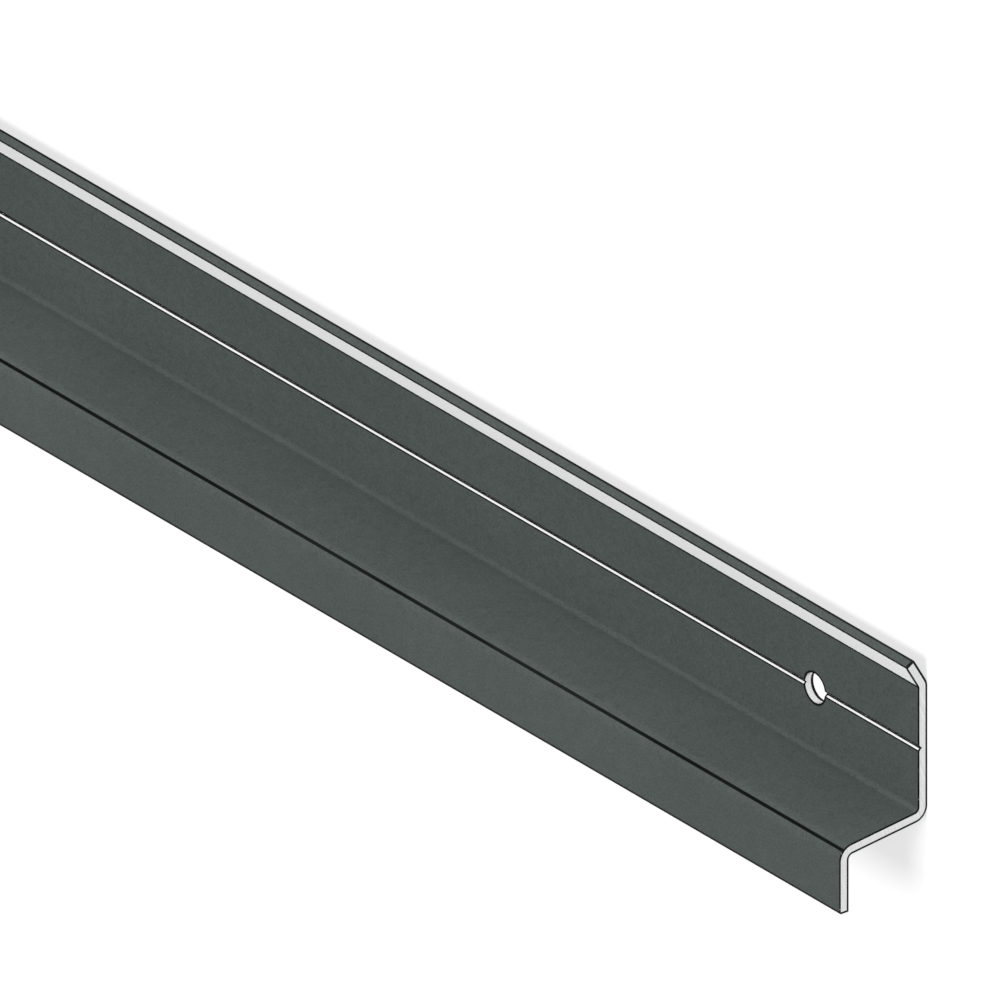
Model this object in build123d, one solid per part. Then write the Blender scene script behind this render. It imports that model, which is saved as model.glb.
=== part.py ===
from build123d import *
import os
from math import cos, radians, sin

# Drip cap flashing: one length of extruded aluminium profile that is screwed to a wall.
# It lies with its wall face on the floor, as it rests when nothing holds it.
# X runs along the length, Y from the lip across to the drip, Z out from the wall.
# The origin is under the middle of the part. Lengths are millimetres, angles degrees.

# The section: a web against the wall, a lip above it, a sloping ledge and a drip below it
wall = 2.0
web_width = 28.0
lip_length = 6.3
lip_lean = 30.0
ledge_length = 18.5
ledge_fall = 6.5
drip_length = 11.6

# Its bends and its free edges
bend_radius_inside = 1.0
free_edge_radius = 0.25

# The groove that marks the row of holes, measured from the lip's corner on the wall face
groove_line = 13.2
groove_width = 1.0
groove_depth = 0.5

# The length and the screw holes, spread evenly between the two end holes
length = 2000.0
hole_diameter = 6.0
hole_end_distance = 31.0
hole_count = 7


def toward(angle, distance):
    """A step across the section, its angle counted from Y towards Z."""
    return Vector(cos(radians(angle)) * distance, sin(radians(angle)) * distance)


def wall_side():
    """Line of the section's wall side, from the lip's end round three bends to the drip's edge."""
    lip_corner = Vector(0, 0)
    heel_corner = lip_corner + Vector(web_width, 0)
    toe_corner = heel_corner + toward(90 - ledge_fall, ledge_length)
    lip_end = lip_corner + toward(180 - lip_lean, lip_length)
    drip_edge = toe_corner + Vector(drip_length, 0)
    outside = bend_radius_inside + wall
    return FilletPolyline(
        lip_end,
        lip_corner,
        heel_corner,
        toe_corner,
        drip_edge,
        radius=[outside, outside, bend_radius_inside],
    )


def groove_notch():
    """Notch of the marking groove in the web's front face."""
    half = groove_width / 2
    return make_face(
        Polyline(
            (groove_line - half, wall),
            (groove_line, wall - groove_depth),
            (groove_line + half, wall),
            close=True,
        )
    )


def section():
    """The whole section, with its four free corners eased and the groove cut."""
    line = wall_side()
    outline = make_face(offset(line, amount=wall, side=Side.LEFT))
    corners = []
    for end in (line @ 0, line @ 1):
        corners += outline.vertices().sort_by_distance(end)[:2]
    return fillet(corners, free_edge_radius) - groove_notch()


def hole_places():
    """Distances of the screw holes from the middle of the length."""
    span = length - 2 * hole_end_distance
    pitch = span / (hole_count - 1)
    return [pitch * number - span / 2 for number in range(hole_count)]


def drip_cap_profile():
    """The profile at its place over the origin, with its row of holes through the web."""
    bar = extrude(Plane.YZ * section(), amount=length / 2, both=True)
    for place in hole_places():
        bar -= Pos(place, groove_line, wall / 2) * Cylinder(hole_diameter / 2, 2 * wall)
    box = bar.bounding_box()
    return Pos(0, -box.center().Y, -box.min.Z) * bar


profile = drip_cap_profile()
os.makedirs("parts", exist_ok=True)
export_step(profile, "parts/drip_cap_profile.step")
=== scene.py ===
# %% [markdown]
# Drip cap flashing
#
# The real object is one length of extruded aluminium that is screwed to a wall. Its web stands
# against the wall, a short lip leans out at the top, and a ledge and a drip carry rain away at the
# bottom. Most of it has a dark powder coating. The sawn ends, the drilled holes, the marking groove
# and the lip's front are bare metal.
#
# This lesson loads the measured model as a fixed frame, builds a finer skin on the same sizes and
# gives each surface its own finish. The part lies on its wall face. X runs along it, Y goes from the
# lip across to the drip, and Z points out from the wall. All lengths are in metres.

# %% Load the frame
import bpy
import bmesh
from math import cos, pi, radians, sin, sqrt, tan
from mathutils import Matrix, Vector


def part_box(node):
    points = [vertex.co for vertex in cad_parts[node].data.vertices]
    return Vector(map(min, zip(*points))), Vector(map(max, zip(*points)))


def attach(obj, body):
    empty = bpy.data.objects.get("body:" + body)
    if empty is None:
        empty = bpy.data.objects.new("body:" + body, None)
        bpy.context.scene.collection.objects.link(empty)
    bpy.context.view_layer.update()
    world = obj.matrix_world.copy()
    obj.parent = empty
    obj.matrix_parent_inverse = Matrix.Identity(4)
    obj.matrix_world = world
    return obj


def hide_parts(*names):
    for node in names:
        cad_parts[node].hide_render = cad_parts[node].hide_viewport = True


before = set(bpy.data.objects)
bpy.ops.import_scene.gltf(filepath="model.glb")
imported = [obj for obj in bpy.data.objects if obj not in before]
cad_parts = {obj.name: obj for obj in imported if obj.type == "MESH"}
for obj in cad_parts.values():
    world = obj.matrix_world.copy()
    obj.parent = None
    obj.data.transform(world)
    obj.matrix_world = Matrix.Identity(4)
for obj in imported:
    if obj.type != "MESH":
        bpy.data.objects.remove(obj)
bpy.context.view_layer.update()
low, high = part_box("drip_cap_profile")
millimetre = 0.001
length = high.x - low.x
print("The frame is", [round(side / millimetre, 2) for side in high - low], "mm")

# %% [markdown]
# The camera comes first. The picture is a parallel projection, so the camera is orthographic: lines
# along the part stay parallel, and one millimetre is equally long everywhere. The picture shows the
# part as it hangs on its wall, and here it lies on the wall's plane. So the camera is turned by the
# same amounts as the picture's maker turned the part, and it leans over with the wall.
#
# Two angles say it all: how far the wall is turned away from the viewer, and how high the viewer
# looks from. One corner of the part and its place in the picture then set the framing.

# %% Place the camera
def placed(name, data):
    """A new object with this data, linked into the scene."""
    made = bpy.data.objects.new(name, data)
    bpy.context.scene.collection.objects.link(made)
    return made


picture_pixels = 1000
pixels_per_millimetre = 5.44
wall_turn = radians(51.9)
view_height = radians(27.15)
heel_corner_pixel = (927.4, 817.3)

web_width = 28.0 * millimetre
ledge_length = 18.5 * millimetre
ledge_fall = radians(6.5)
drip_length = 11.6 * millimetre
heel_y = high.y - drip_length - ledge_length * sin(ledge_fall)
near_heel_corner = Vector((low.x, heel_y, low.z))

right = Vector((-cos(wall_turn), 0, -sin(wall_turn)))
up = Vector((
    sin(view_height) * sin(wall_turn),
    -cos(view_height),
    -sin(view_height) * cos(wall_turn),
))
toward_viewer = right.cross(up)

pixel = millimetre / pixels_per_millimetre
across = (picture_pixels / 2 - heel_corner_pixel[0]) * pixel
upward = (heel_corner_pixel[1] - picture_pixels / 2) * pixel
camera_distance = 1.5
camera_reach = 20.0

camera_data = bpy.data.cameras.new("picture_camera")
camera_data.type = "ORTHO"
camera_data.ortho_scale = picture_pixels * pixel
camera_data.clip_end = camera_reach
camera = placed("picture_camera", camera_data)
turned = Matrix((right, up, toward_viewer)).transposed().to_4x4()
aim = near_heel_corner + right * across + up * upward
camera.matrix_world = Matrix.Translation(aim + toward_viewer * camera_distance) @ turned
bpy.context.scene.camera = camera
print("The picture is", round(camera_data.ortho_scale / millimetre, 1), "mm wide")

# %% [markdown]
# The section could be traced point by point, but it is simpler to walk it, as the extrusion's
# designer would: a straight run, a bend, the next run. The walk follows the wall side and notes at
# each step which way the front side lies. A step out by the wall's thickness then gives the front
# side, so the wall is even everywhere and the inner and outer bends share their centres.

# %% Walk the section's wall side
wall = 2.0 * millimetre
lip_length = 6.3 * millimetre
lip_lean = radians(30.0)
inner_bend = 1.0 * millimetre
outer_bend = inner_bend + wall
bend_steps = 14


def heading(angle):
    """A unit step across the section, its angle counted from Y towards Z."""
    return Vector((cos(angle), sin(angle)))


def walk(start, angle, runs, bends):
    """Points along straight runs joined by bends, each with the direction of the front side."""
    place = Vector(start)
    stations = [(place.copy(), heading(angle + pi / 2))]
    for number, run in enumerate(runs):
        place += heading(angle) * run
        stations.append((place.copy(), heading(angle + pi / 2)))
        if number < len(bends):
            turn = bends[number]
            radius = outer_bend if turn > 0 else -inner_bend
            centre = place + heading(angle + pi / 2) * radius
            for step in range(1, bend_steps + 1):
                now = angle + turn * step / bend_steps
                stations.append((centre - heading(now + pi / 2) * radius, heading(now + pi / 2)))
            angle += turn
            place = stations[-1][0].copy()
    return stations


ledge_turn = pi / 2 - ledge_fall
lip_setback = outer_bend * tan(lip_lean / 2)
heel_setback = outer_bend * tan(ledge_turn / 2)
toe_setback = inner_bend * tan(ledge_turn / 2)
lip_corner = Vector((heel_y - web_width, low.z))
wall_side = walk(
    lip_corner + heading(pi - lip_lean) * lip_length,
    -lip_lean,
    [
        lip_length - lip_setback,
        web_width - lip_setback - heel_setback,
        ledge_length - heel_setback - toe_setback,
        drip_length - toe_setback,
    ],
    [lip_lean, ledge_turn, -ledge_turn],
)
front_side = [point + out * wall for point, out in wall_side]
print("The wall side has", len(wall_side), "points and ends at", wall_side[-1][0] / millimetre, "mm")

# %% [markdown]
# The outline is a closed loop made of the two sides, with small rounds at its four free corners and
# the V of the marking groove cut into the web's front. Each stretch between two points also gets a
# finish, because the finish of an extrusion changes along such lines: where the coating stops, where
# the tool cut. A tool that cuts through the coating also leaves the coating's own edge in view, a thin
# black line, so both slopes of the groove start with such a cut edge. The bare band of the lip's
# front keeps a small distance from the lip's corner, where the coating wraps round.

# %% Close the outline and name its finishes
free_edge = 0.25 * millimetre
corner_steps = 5
groove_from_lip = 13.2 * millimetre
groove_y = lip_corner.x + groove_from_lip
groove_width = 1.0 * millimetre
groove_depth = 0.5 * millimetre
coating_thickness = 0.07 * millimetre
band_margin = 0.60 * millimetre
COATING, CUT_EDGE, BARE_BAND, GROOVE, SAWN_END, DRILLED = range(6)

along_lip = heading(-lip_lean)
along_drip = heading(0)
lip_end, lip_out = wall_side[0]
drip_end, drip_out = wall_side[-1]
band_border = lip_end + lip_out * wall + along_lip * band_margin


def eased(corner, before, after, radius):
    """Points round a square corner, given the directions of travel before and after it."""
    centre = corner + (after - before) * radius
    points = []
    for step in range(corner_steps + 1):
        turn = step / corner_steps * pi / 2
        points.append((centre + (before * sin(turn) - after * cos(turn)) * radius, COATING))
    return points


def groove_notch(front):
    """The groove's V in the front side, from its edge beside the ledge to the one beside the lip."""
    top = wall - front
    half = groove_width / 2 + front * (sqrt(2) - 1)
    bottom = wall - groove_depth - front * sqrt(2)
    return [
        (Vector((groove_y + half, top)), CUT_EDGE),
        (Vector((groove_y + half - coating_thickness, top - coating_thickness)), GROOVE),
        (Vector((groove_y, bottom)), GROOVE),
        (Vector((groove_y - half + coating_thickness, top - coating_thickness)), CUT_EDGE),
        (Vector((groove_y - half, top)), COATING),
    ]


def outline(back=0.0, front=0.0):
    """Points round the section with their finishes, the sides moved in by a back and a front rim."""
    band_start = 1
    web_foot = bend_steps + 2
    radius = free_edge - front
    lip_stop = lip_end + along_lip * back
    drip_stop = drip_end - along_drip * back
    loop = [(point + out * back, COATING) for point, out in wall_side[1:-1]]
    loop += eased(drip_stop + drip_out * back, along_drip, drip_out, radius)
    loop += eased(drip_stop + drip_out * (wall - front), drip_out, -along_drip, radius)
    for number in range(len(wall_side) - 2, 0, -1):
        point, out = wall_side[number]
        loop.append((point + out * (wall - front), BARE_BAND if number == band_start else COATING))
        if number == web_foot:
            loop += groove_notch(front)
    loop.append((band_border - lip_out * front, COATING))
    loop += eased(lip_stop + lip_out * (wall - front), -along_lip, -lip_out, radius)
    loop += eased(lip_stop + lip_out * back, -lip_out, along_lip, radius)
    return loop


section = outline()
ys = [point.x for point, finish in section]
zs = [point.y for point, finish in section]
print("The outline has", len(section), "points and is",
      round((max(ys) - min(ys)) / millimetre, 3), "by", round((max(zs) - min(zs)) / millimetre, 3), "mm")

# %% [markdown]
# Each sawn end has two fine rings round it: a broken edge, and a dark rim, because the saw drags the
# coating a little way over the metal. It drags more of it where its teeth leave the metal, behind.
# Both rings are the same outline moved inward. The long faces run in one piece from end to end,
# because the real bar is straight. Each band of faces takes the outline's finishes or one finish of
# its own.

# %% Make the bar
saw_edge = 0.04 * millimetre
back_rim = 0.42 * millimetre
front_rim = 0.12 * millimetre


def ring(mesh, x, points):
    """One loop of vertices across the bar."""
    return [mesh.verts.new((x, point.x, point.y)) for point, finish in points]


def stored(mesh, name):
    """The mesh as Blender's own data, with its faces turned outward."""
    bmesh.ops.recalc_face_normals(mesh, faces=mesh.faces)
    data = bpy.data.meshes.new(name)
    mesh.to_mesh(data)
    mesh.free()
    return data


def bar_mesh():
    """The whole bar with its ends, each face marked with its finish."""
    eased_edge = outline(saw_edge, saw_edge)
    metal = outline(saw_edge + back_rim, saw_edge + front_rim)
    mesh = bmesh.new()
    rings = [
        ring(mesh, low.x, metal),
        ring(mesh, low.x, eased_edge),
        ring(mesh, low.x + saw_edge, section),
        ring(mesh, high.x - saw_edge, section),
        ring(mesh, high.x, eased_edge),
        ring(mesh, high.x, metal),
    ]
    long_faces = [finish for point, finish in section]
    cut_edge = [CUT_EDGE] * len(section)
    bands = [cut_edge, long_faces, long_faces, long_faces, cut_edge]
    for first, second, finishes in zip(rings, rings[1:], bands):
        for number, finish in enumerate(finishes):
            after = (number + 1) % len(section)
            face = mesh.faces.new((first[number], first[after], second[after], second[number]))
            face.material_index = finish
            face.smooth = True
    for end in (rings[0][::-1], rings[-1]):
        face = mesh.faces.new(end)
        face.material_index = SAWN_END
    return stored(mesh, "coated_profile")


profile = placed("coated_profile", bar_mesh())
print("The bar has", len(profile.data.polygons), "faces")

# %% [markdown]
# The holes are drilled through the web on the groove, so that the drill finds its place. A drill is
# a plain round rod here, and the same rod is taken away at each hole's place, which also cuts the
# ends of the groove correctly. A drill drags the coating along as the saw does, so its side has
# three bands: a wide dark rim behind, where its tip breaks through, bare metal, and a narrow dark
# rim in front.

# %% Drill the holes
hole_radius = 3.0 * millimetre
hole_end_distance = 31.0 * millimetre
hole_count = 7
hole_sides = 96
hole_back_rim = 0.60 * millimetre
overshoot = 1.0 * millimetre


def drill_mesh(places):
    """One mesh with a round rod at each place along the groove."""
    heights = (-overshoot, hole_back_rim, wall - front_rim, wall + overshoot)
    circle = [heading(2 * pi * side / hole_sides) * hole_radius for side in range(hole_sides)]
    mesh = bmesh.new()
    for place in places:
        loops = [
            [mesh.verts.new((place + point.x, groove_y + point.y, z)) for point in circle]
            for z in heights
        ]
        for lower, upper, finish in zip(loops, loops[1:], (CUT_EDGE, DRILLED, CUT_EDGE)):
            for side in range(hole_sides):
                after = (side + 1) % hole_sides
                face = mesh.faces.new((lower[side], lower[after], upper[after], upper[side]))
                face.material_index = finish
                face.smooth = True
        mesh.faces.new(loops[0][::-1])
        mesh.faces.new(loops[-1])
    return stored(mesh, "drills")


row_length = length - 2 * hole_end_distance
hole_pitch = row_length / (hole_count - 1)
hole_places = [hole_pitch * number - row_length / 2 for number in range(hole_count)]
drills = placed("drills", drill_mesh(hole_places))
print("Holes at", [round(place / millimetre, 1) for place in hole_places], "mm from the middle")

# %% [markdown]
# The finishes are node materials. Writing shader maths with nodes gets long, so a small class wraps
# a node's output and lets it stand in a formula. Adding or multiplying two of them adds a Math node.
# Every other node is made by one method that takes its type, its settings and its inputs.

# %% A class for shader formulas
class Wire:
    """One output in a material's node tree, used like a number in a formula."""

    def __init__(self, tree, socket=None):
        self.tree = tree
        self.socket = socket

    def node(self, kind, settings, inputs, output=0):
        """Add a node of any kind: first its settings, then the values or links of its sockets."""
        made = self.tree.nodes.new(kind)
        for name, value in settings.items():
            setattr(made, name, value)
        for name, value in inputs.items():
            if isinstance(value, Wire):
                self.tree.links.new(value.socket, made.inputs[name])
            else:
                made.inputs[name].default_value = value
        return Wire(self.tree, made.outputs[output])

    def maths(self, operation, first, second):
        """Add a Math node."""
        return self.node("ShaderNodeMath", {"operation": operation}, {0: first, 1: second})

    def __add__(self, other):
        return self.maths("ADD", self, other)

    def __radd__(self, other):
        return self.maths("ADD", other, self)

    def __sub__(self, other):
        return self.maths("SUBTRACT", self, other)

    def __rsub__(self, other):
        return self.maths("SUBTRACT", other, self)

    def __mul__(self, other):
        return self.maths("MULTIPLY", self, other)

    def __rmul__(self, other):
        return self.maths("MULTIPLY", other, self)

    def limited(self):
        """The same value held between 0 and 1."""
        return self.node("ShaderNodeClamp", {}, {"Value": self})

    def step(self, start, end):
        """0 below start and 1 above end, with a soft change between."""
        return self.node(
            "ShaderNodeMapRange",
            {"interpolation_type": "SMOOTHSTEP"},
            {"Value": self, "From Min": start, "From Max": end, "To Min": 0.0, "To Max": 1.0},
        )

    def or_more(self, other):
        """The greater of the two values."""
        return self.maths("MAXIMUM", self, other)

    def wrapped(self, lowest, highest):
        """A place brought into one period between two corners, so that a pattern repeats."""
        return self.node(
            "ShaderNodeVectorMath", {"operation": "WRAP"}, {0: self, 1: highest, 2: lowest}
        )

    def axis(self, name):
        """One of a place's three numbers, X, Y or Z."""
        return self.node("ShaderNodeSeparateXYZ", {}, {"Vector": self}, output=name)

    def scaled(self, x, y, z):
        """A place with each of its directions stretched."""
        return self.node("ShaderNodeVectorMath", {"operation": "MULTIPLY"}, {0: self, 1: (x, y, z)})

    def distance_to(self, point):
        """How far this place is from a point."""
        return self.node(
            "ShaderNodeVectorMath", {"operation": "DISTANCE"}, {0: self, 1: point}, output="Value"
        )

    def grain(self, scale, detail, roughness=0.5):
        """Cloudy noise from 0 to 1 at this place, scale being its spots per metre."""
        return self.node(
            "ShaderNodeTexNoise",
            {"noise_dimensions": "3D"},
            {"Vector": self, "Scale": scale, "Detail": detail, "Roughness": roughness},
        )

    def drawn_out(self, along, across, detail, roughness=0.5):
        """Noise in lines along the part, with so many spots per metre along and across it."""
        return self.scaled(along, across, across).grain(1.0, detail, roughness)

    def streaks(self, scale, detail, roughness):
        """Noise from 0 to 1 that follows this one number, scale being its streaks per metre."""
        return self.node(
            "ShaderNodeTexNoise",
            {"noise_dimensions": "1D"},
            {"W": self, "Scale": scale, "Detail": detail, "Roughness": roughness},
        )

    def tint(self, first, second):
        """A colour between two others, by this value from 0 to 1."""
        first, second = (
            colour if isinstance(colour, Wire) else (*colour, 1.0) for colour in (first, second)
        )
        # A Mix node has sockets for each type of value. Its colours are inputs 6 and 7 and output 2.
        return self.node(
            "ShaderNodeMix", {"data_type": "RGBA"}, {0: self, 6: first, 7: second}, output=2
        )

    def relief(self, depth, strength):
        """A surface normal that follows this value as a height of so many metres."""
        return self.node(
            "ShaderNodeBump", {}, {"Height": self, "Distance": depth, "Strength": strength}
        )


print("Ready to write shader formulas")

# %% [markdown]
# Every finish starts from Blender's standard shader. Its pattern follows the place on the part,
# which is measured in metres, so the size of a pattern is a real size too. The metals here are
# nearly neutral, so one more helper makes a grey.

# %% Helpers for a finish
def new_finish(name):
    """A new material with its shader, and the place on the part as a wire."""
    material = bpy.data.materials.new(name)
    material.use_nodes = True
    tree = material.node_tree
    shader = tree.nodes["Principled BSDF"]
    place = Wire(tree).node("ShaderNodeTexCoord", {}, {}, output="Object")
    return material, shader, place


def dress(shader, inputs):
    """Set or link the shader's own sockets."""
    for name, value in inputs.items():
        if isinstance(value, Wire):
            value.tree.links.new(value.socket, shader.inputs[name])
        else:
            shader.inputs[name].default_value = value


def grey(level, warmth=0.0):
    """A neutral colour, or one that is warmer or cooler by a hundredth or less."""
    return (level * (1 + warmth), level, level * (1 - warmth))


print("Ready to mix finishes")

# %% [markdown]
# Where packing and hands rub along an edge, the texture of the coating wears smooth, and it looks
# darker there. That draws a thin dark line along each free edge, along the borders of the bare band
# and of the groove, and along the crest of the drip's bend. Each line runs the whole length, so it
# needs only one point of the section and a width. A line along a free edge is wider, because the
# edge's round takes its middle away, and the drip's edge in front is rubbed most.
#
# Both ends and the rim of each hole get a line as well, where the burr was scraped off. Those lines
# also cross the bare band and the groove, so they have a function of their own.

# %% Find the rubbed lines
crest_width = 0.62 * millimetre
border_width = 0.40 * millimetre
band_border_width = 0.48 * millimetre
free_edge_width = 0.90 * millimetre
drip_edge_width = 1.10 * millimetre
hole_rim_width = 0.42 * millimetre
crest_share = 0.45
lip_line_share = 0.5
least_wear = 0.72
wear_spread = 0.5
LIP_BEND, DRIP_BEND = 0, 2


def on_bend(number, share):
    """A point on the front side of a bend, at a share of its turn."""
    steps = share * bend_steps
    first = number * (bend_steps + 1) + 1 + int(steps)
    return front_side[first].lerp(front_side[first + 1], steps - int(steps))


rubbed_lines = [
    (on_bend(DRIP_BEND, crest_share), crest_width),
    (on_bend(LIP_BEND, lip_line_share), border_width),
    (band_border - along_lip * band_margin / 2, band_border_width),
    (Vector((groove_y - groove_width / 2, wall)), border_width),
    (Vector((groove_y + groove_width / 2, wall)), border_width),
    (lip_end, free_edge_width),
    (front_side[-1], drip_edge_width),
    (drip_end, free_edge_width),
]


def from_ends(place):
    """How far a place is from the nearer sawn end."""
    along = place.axis("X")
    return length / 2 - along.maths("ABSOLUTE", along, 0.0)


def fading(distance, width, solid, gone):
    """1 up to a solid share of a width, and 0 from the share where it is gone."""
    return 1 - distance.step(width * solid, width * gone)


def scraped(place, end_width=border_width):
    """1 beside the sawn ends and round the holes, where the burr was scraped off, else 0."""
    ends = fading(from_ends(place), end_width, solid=0.6, gone=1.1)
    half_pitch = hole_pitch / 2
    near_hole = place.scaled(1, 1, 0).wrapped((-half_pitch, -1, -1), (half_pitch, 1, 1))
    from_rim = near_hole.distance_to((0, groove_y, 0)) - hole_radius
    return ends.or_more(fading(from_rim, hole_rim_width, solid=0.8, gone=1.2))


def rubbed(place):
    """1 on the rubbed lines and 0 away from them, a little uneven along the length."""
    across = place.scaled(0, 1, 1)
    lines = scraped(place)
    for point, width in rubbed_lines:
        distance = across.distance_to((0, point.x, point.y))
        lines = lines.or_more(fading(distance, width, solid=0.4, gone=0.65))
    uneven = place.drawn_out(40, 400, detail=3.0)
    return lines * (uneven * wear_spread + least_wear).limited()


print("There are", len(rubbed_lines), "rubbed lines along the part")

# %% [markdown]
# The coating itself is a fine textured powder coat in anthracite with a touch of green. Powder melts
# into small pebbles nearly half a millimetre wide, over longer, softer waves. Both are relief, and
# the pebbles' tops are a shade lighter than the dips between them. The saw breaks small chips out of
# the coating at both ends, and bare metal shows in them.
#
# A dull black line under a white sky still looks grey, because even a dull surface mirrors some of
# the sky. Metallic takes the colour for the mirror image too, so the rubbed lines use it to stay
# black.

# %% Mix the coating
coating_dark = (0.044, 0.054, 0.051)
coating_light = (0.088, 0.103, 0.098)
dull_black = (0.004, 0.005, 0.0045)
chip_metal = grey(0.72)
pebbles_per_metre = 2300
waves_per_metre = 420
clouds_per_metre = 30
chips_per_metre = 1500
chip_reach = 0.6 * millimetre
coating_relief = 0.06 * millimetre


def chips(place):
    """1 in the chips that the saw broke out at both ends, and 0 elsewhere."""
    # Noise alone hardly ever reaches 0.85. Near the ends it gets some help, and its peaks chip.
    nearness = 1 - from_ends(place).step(0.0, chip_reach)
    return (place.grain(chips_per_metre, detail=3.0) + nearness * 0.2).step(0.85, 0.88)


def coating():
    """Textured powder coat, black where it is rubbed and bare metal where it is chipped."""
    material, shader, place = new_finish("anthracite_powder_coat")
    pebbles = place.grain(pebbles_per_metre, detail=2.0, roughness=0.6)
    waves = place.grain(waves_per_metre, detail=1.0)
    clouds = place.grain(clouds_per_metre, detail=3.0)
    worn = rubbed(place)
    chipped = chips(place)
    shade = (pebbles * 1.6 + waves * 0.3 + clouds * 0.4 - 0.65).limited()
    colour = worn.tint(shade.tint(coating_dark, coating_light), dull_black)
    height = pebbles * (1 - worn * 0.7) + waves * 0.6 - chipped
    dress(shader, {
        "Base Color": chipped.tint(colour, chip_metal),
        "Roughness": 0.66 + (pebbles - 0.5) * 0.3 - worn * 0.12,
        "Metallic": (chipped * 0.7).or_more(worn),
        "Normal": height.relief(coating_relief, 0.6),
        "Specular IOR Level": 0.12,
    })
    return material


finishes = {COATING: coating()}
print("Mixed", finishes[COATING].name)

# %% [markdown]
# Where a tool cut through the coating, the coating's own edge is in view. It is a crumbly black line
# along the groove, and a wider one where the saw and the drill dragged the coating over the metal.
# It is too thin to be worth a layer of its own, so the faces there only get their own finish.

# %% Mix the coating's cut edge
cut_edge_dark = (0.003, 0.004, 0.004)
cut_edge_light = (0.012, 0.014, 0.013)
crumbs_per_metre = 5000
crumb_height = 0.02 * millimetre


def coating_cut_edge():
    """Dull black crumbs of powder coat."""
    material, shader, place = new_finish("coating_cut_edge")
    crumbs = place.grain(crumbs_per_metre, detail=2.0)
    dress(shader, {
        "Base Color": crumbs.tint(cut_edge_dark, cut_edge_light),
        "Roughness": 0.7 + (crumbs - 0.5) * 0.3,
        "Normal": crumbs.relief(crumb_height, 0.5),
        "Specular IOR Level": 0.1,
    })
    return material


finishes[CUT_EDGE] = coating_cut_edge()
print("Mixed", finishes[CUT_EDGE].name)

# %% [markdown]
# All bare surfaces are the same aluminium, worked by different tools. The lip's front keeps the fine
# lines that the extrusion die drew along it. Noise that is drawn out along the part makes such lines.
# The two ends were scraped a little further in, because the saw leaves its largest burr on bare
# metal.

# %% Mix the bare band
band_dark = grey(0.94, -0.005)
band_light = grey(0.99, -0.004)
band_end_width = 0.75 * millimetre
die_lines_per_metre = 3200
stains_per_metre = 60
die_line_depth = 0.012 * millimetre


def bare_band():
    """Pale metal with the die's lines along it, black where its ends were scraped."""
    material, shader, place = new_finish("bare_lip_band")
    die_lines = place.drawn_out(5, die_lines_per_metre, detail=3.0, roughness=0.7)
    stains = place.grain(stains_per_metre, detail=2.0)
    shade = (die_lines * 0.8 + stains * 0.3 - 0.05).limited()
    bright = shade.tint(band_dark, band_light)
    dress(shader, {
        "Base Color": scraped(place, band_end_width).tint(bright, dull_black),
        "Metallic": 0.05,
        "Roughness": 0.55 + (die_lines - 0.5) * 0.2,
        "Normal": die_lines.relief(die_line_depth, 0.5),
        "Specular IOR Level": 0.12,
    })
    return material


finishes[BARE_BAND] = bare_band()
print("Mixed", finishes[BARE_BAND].name)

# %% [markdown]
# The marking groove was cut through the coating, so its two faces are bright. Painted shade darkens
# the bottom of the V, a little more on the lip's side, and draws a dark line there.

# %% Mix the groove
groove_dark = grey(0.92, -0.004)
groove_light = grey(0.98, -0.002)
shade_reach = 0.32 * millimetre
shade_offset = 0.1 * millimetre
shade_middle = (0, groove_y - shade_offset, wall - groove_depth + shade_offset)
tool_lines_per_metre = 9000
tool_line_depth = 0.008 * millimetre


def groove():
    """Bright metal with painted shade in the bottom of the V."""
    material, shader, place = new_finish("bright_groove")
    tool_lines = place.drawn_out(10, tool_lines_per_metre, detail=2.0, roughness=0.6)
    # Painted shade: the bottom of the V turns black, centred a little towards the lip's side.
    from_shade = place.scaled(0, 1, 1).distance_to(shade_middle)
    unshaded = from_shade.step(shade_reach * 0.75, shade_reach)
    bare = (unshaded - scraped(place)).limited()
    bright = tool_lines.tint(groove_dark, groove_light)
    dress(shader, {
        "Base Color": bare.tint(dull_black, bright),
        "Metallic": 1 - bare * 0.3,
        "Roughness": 0.3 + (tool_lines - 0.5) * 0.15,
        "Normal": tool_lines.relief(tool_line_depth, 0.5),
    })
    return material


finishes[GROOVE] = groove()
print("Mixed", finishes[GROOVE].name)

# %% [markdown]
# A circular saw crosses the whole section in one pass. Each tooth leaves an arc, and all arcs share
# the blade's centre, far outside the section. Streaks that follow only the distance from that centre
# draw such arcs.

# %% Mix the sawn ends
sawn_dark = grey(0.55, -0.010)
sawn_light = grey(0.87, -0.006)
blade_centre = (0.0, 60 * millimetre, 165 * millimetre)
arcs_per_metre = 2200
spots_per_metre = 2500
arc_depth = 0.02 * millimetre


def sawn_end():
    """Grey metal with the arcs of the saw's teeth."""
    material, shader, place = new_finish("sawn_end")
    from_blade = place.scaled(0, 1, 1).distance_to(blade_centre)
    arcs = from_blade.streaks(arcs_per_metre, detail=3.0, roughness=0.65)
    spots = place.grain(spots_per_metre, detail=2.0)
    shade = (arcs + spots * 0.3 - 0.15).limited()
    dress(shader, {
        "Base Color": shade.tint(sawn_dark, sawn_light),
        "Metallic": 0.6,
        "Roughness": 0.36 + (arcs - 0.5) * 0.2,
        "Normal": (arcs + spots * 0.3).relief(arc_depth, 0.5),
    })
    return material


finishes[SAWN_END] = sawn_end()
print("Mixed", finishes[SAWN_END].name)

# %% [markdown]
# A drill leaves rings round the wall of its hole. Cutting them into the mesh would take thousands of
# faces that nobody sees, so noise that follows only the depth draws them as shade and relief.

# %% Mix the drilled walls
drilled_dark = grey(0.74, -0.008)
drilled_light = grey(0.92, -0.004)
rings_per_metre = 7000
ring_depth = 0.012 * millimetre


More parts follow.
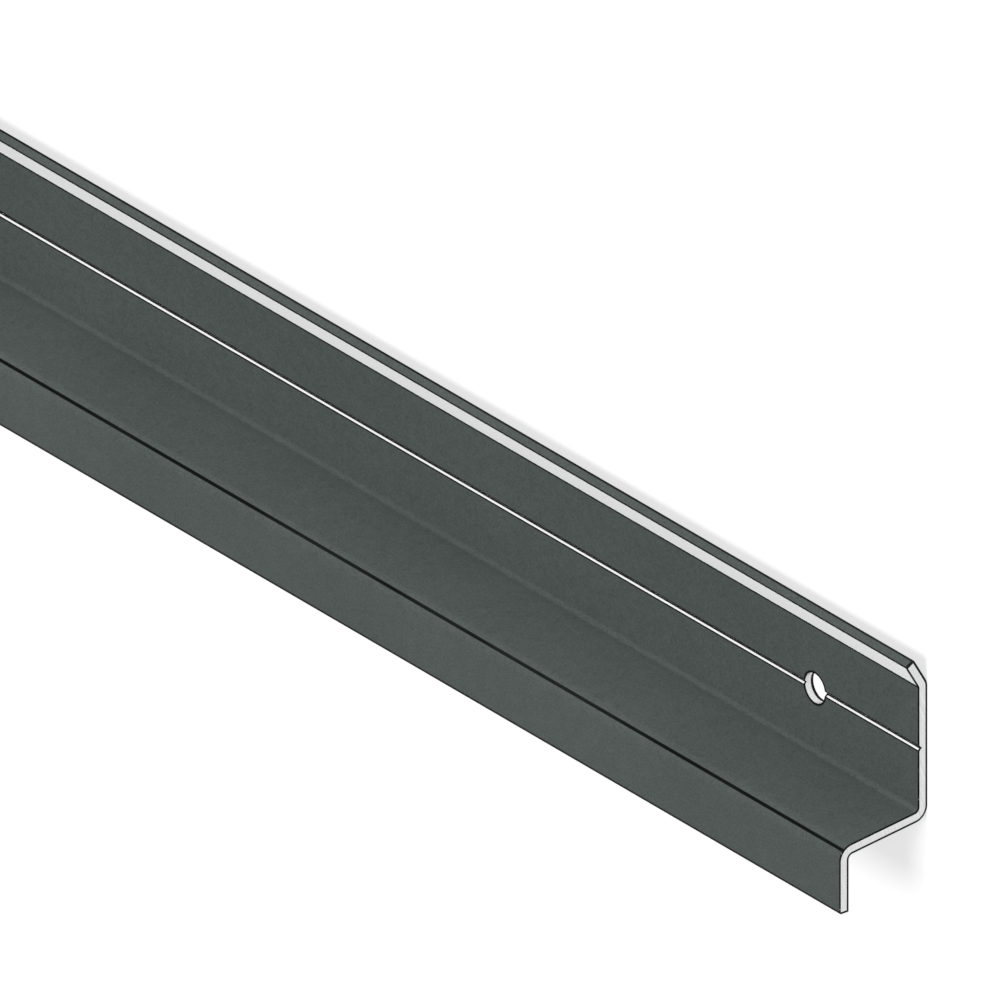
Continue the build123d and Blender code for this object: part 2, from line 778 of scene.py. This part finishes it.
def drilled_wall():
    """Bright metal with the drill's rings."""
    material, shader, place = new_finish("drilled_wall")
    rings = place.axis("Z").streaks(rings_per_metre, detail=2.0, roughness=0.6)
    dress(shader, {
        "Base Color": rings.tint(drilled_dark, drilled_light),
        "Metallic": 0.5,
        "Roughness": 0.3 + (rings - 0.5) * 0.15,
        "Normal": rings.relief(ring_depth, 0.5),
    })
    return material


finishes[DRILLED] = drilled_wall()
print("Mixed", finishes[DRILLED].name)

# %% [markdown]
# Now the bar takes its finishes, and the drills are taken away from it. Both meshes list the
# finishes in the same order, so the hole's walls keep theirs. Weighted normals then keep the long
# flat faces flat in the light where they run into a bend.

# %% Dress and drill the bar
sharp_angle = radians(35)
for piece in (profile, drills):
    for number in sorted(finishes):
        piece.data.materials.append(finishes[number])

cut = profile.modifiers.new("holes", "BOOLEAN")
cut.operation = "DIFFERENCE"
cut.solver = "EXACT"
cut.object = drills
bpy.context.view_layer.update()
drilled = bpy.data.meshes.new_from_object(
    profile.evaluated_get(bpy.context.evaluated_depsgraph_get())
)
profile.modifiers.clear()
profile.data = drilled
bpy.data.objects.remove(drills)
profile.data.set_sharp_from_angle(angle=sharp_angle)
flat_light = profile.modifiers.new("flat_faces", "WEIGHTED_NORMAL")
flat_light.keep_sharp = True
print("The drilled bar has", len(profile.data.polygons), "faces")

# %% [markdown]
# The dressed bar now stands for the plain solid of the measured model. The solid is hidden here and
# still serves for collision. The bar rides on the part's only body.

# %% Put the piece in place of the plain solid
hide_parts("drip_cap_profile")
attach(profile, "root")
print(profile.name, "stands for the plain solid")

# %% [markdown]
# The part lies on a wide floor in a plain studio. For the light that it throws back on the part, the
# floor is pale paint. The camera and shiny metal see darker paint with a glow instead, which keeps
# the floor white and its shadows pale. The Light Path node tells a shader which of them looks at it.

# %% Lay the floor
floor_half = 30.0
floor_paint = 0.82
seen_paint = 0.35
floor_glow = 0.70
white = (1, 1, 1, 1)

floor_mesh = bmesh.new()
bmesh.ops.create_grid(floor_mesh, x_segments=1, y_segments=1, size=floor_half)
studio_floor = placed("studio_floor", stored(floor_mesh, "studio_floor"))


def seen_directly(wire):
    """1 for what the camera or a shiny surface sees, and 0 for light that only falls."""
    camera_ray = wire.node("ShaderNodeLightPath", {}, {}, output="Is Camera Ray")
    glossy_ray = wire.node("ShaderNodeLightPath", {}, {}, output="Is Glossy Ray")
    return camera_ray.or_more(glossy_ray)


def floor_finish():
    """Matt white that keeps the part's shadow and otherwise looks as white as the sky."""
    material = bpy.data.materials.new("studio_floor")
    material.use_nodes = True
    tree = material.node_tree
    tree.nodes.remove(tree.nodes["Principled BSDF"])
    wire = Wire(tree)
    lighting = wire.node("ShaderNodeBsdfDiffuse", {}, {"Color": (*grey(floor_paint), 1)})
    paint = wire.node("ShaderNodeBsdfDiffuse", {}, {"Color": (*grey(seen_paint), 1)})
    glow = wire.node("ShaderNodeEmission", {}, {"Color": white, "Strength": floor_glow})
    glowing = wire.node("ShaderNodeAddShader", {}, {0: paint, 1: glow})
    mixed = wire.node("ShaderNodeMixShader", {}, {0: seen_directly(wire), 1: lighting, 2: glowing})
    tree.links.new(mixed.socket, tree.nodes["Material Output"].inputs["Surface"])
    return material


studio_floor.data.materials.append(floor_finish())
print("The floor is", 2 * floor_half, "m wide")

# %% [markdown]
# Above the floor is an even white sky. Its level for lighting is lower than white, so that colours
# come out about as they are written, while the camera and shiny metal see it as plain white.

# %% Make the sky
sky_light = 0.30
sky = bpy.data.worlds.new("even_sky")
sky.use_nodes = True
bpy.context.scene.world = sky
sky_tree = sky.node_tree
sky_tree.nodes.remove(sky_tree.nodes["Background"])
wire = Wire(sky_tree)
falling = wire.node("ShaderNodeBackground", {}, {"Color": white, "Strength": sky_light})
seen = wire.node("ShaderNodeBackground", {}, {"Color": white, "Strength": 1.0})
both = wire.node("ShaderNodeMixShader", {}, {0: seen_directly(wire), 1: falling, 2: seen})
sky_tree.links.new(both.socket, sky_tree.nodes["World Output"].inputs["Surface"])
print("The sky lights the part at", sky_light, "of its white")

# %% [markdown]
# Three soft lamps do the rest: one overhead, one low beside the lip, which lights the ledge as
# brightly as the web, and a weak one behind, so that the drip's hollow side doesn't go black from
# there.

# %% Hang the lamps
def soft_lamp(name, energy, towards, disc):
    """A lamp so far away that it lights the whole length alike, its disc so many degrees wide."""
    data = bpy.data.lights.new(name, "SUN")
    data.energy = energy
    data.angle = radians(disc)
    lamp = placed(name, data)
    lamp.rotation_euler = Vector(towards).to_track_quat("Z", "Y").to_euler()


soft_lamp("overhead_lamp", energy=2.05, towards=(-0.14, -0.12, 0.98), disc=26)
soft_lamp("low_lamp", energy=1.9, towards=(-0.45, -0.885, 0.12), disc=14)
soft_lamp("back_lamp", energy=0.8, towards=(0.35, 0.93, 0.12), disc=14)
bpy.context.scene.view_settings.view_transform = "Standard"
print("There are", len(bpy.data.lights), "lamps")
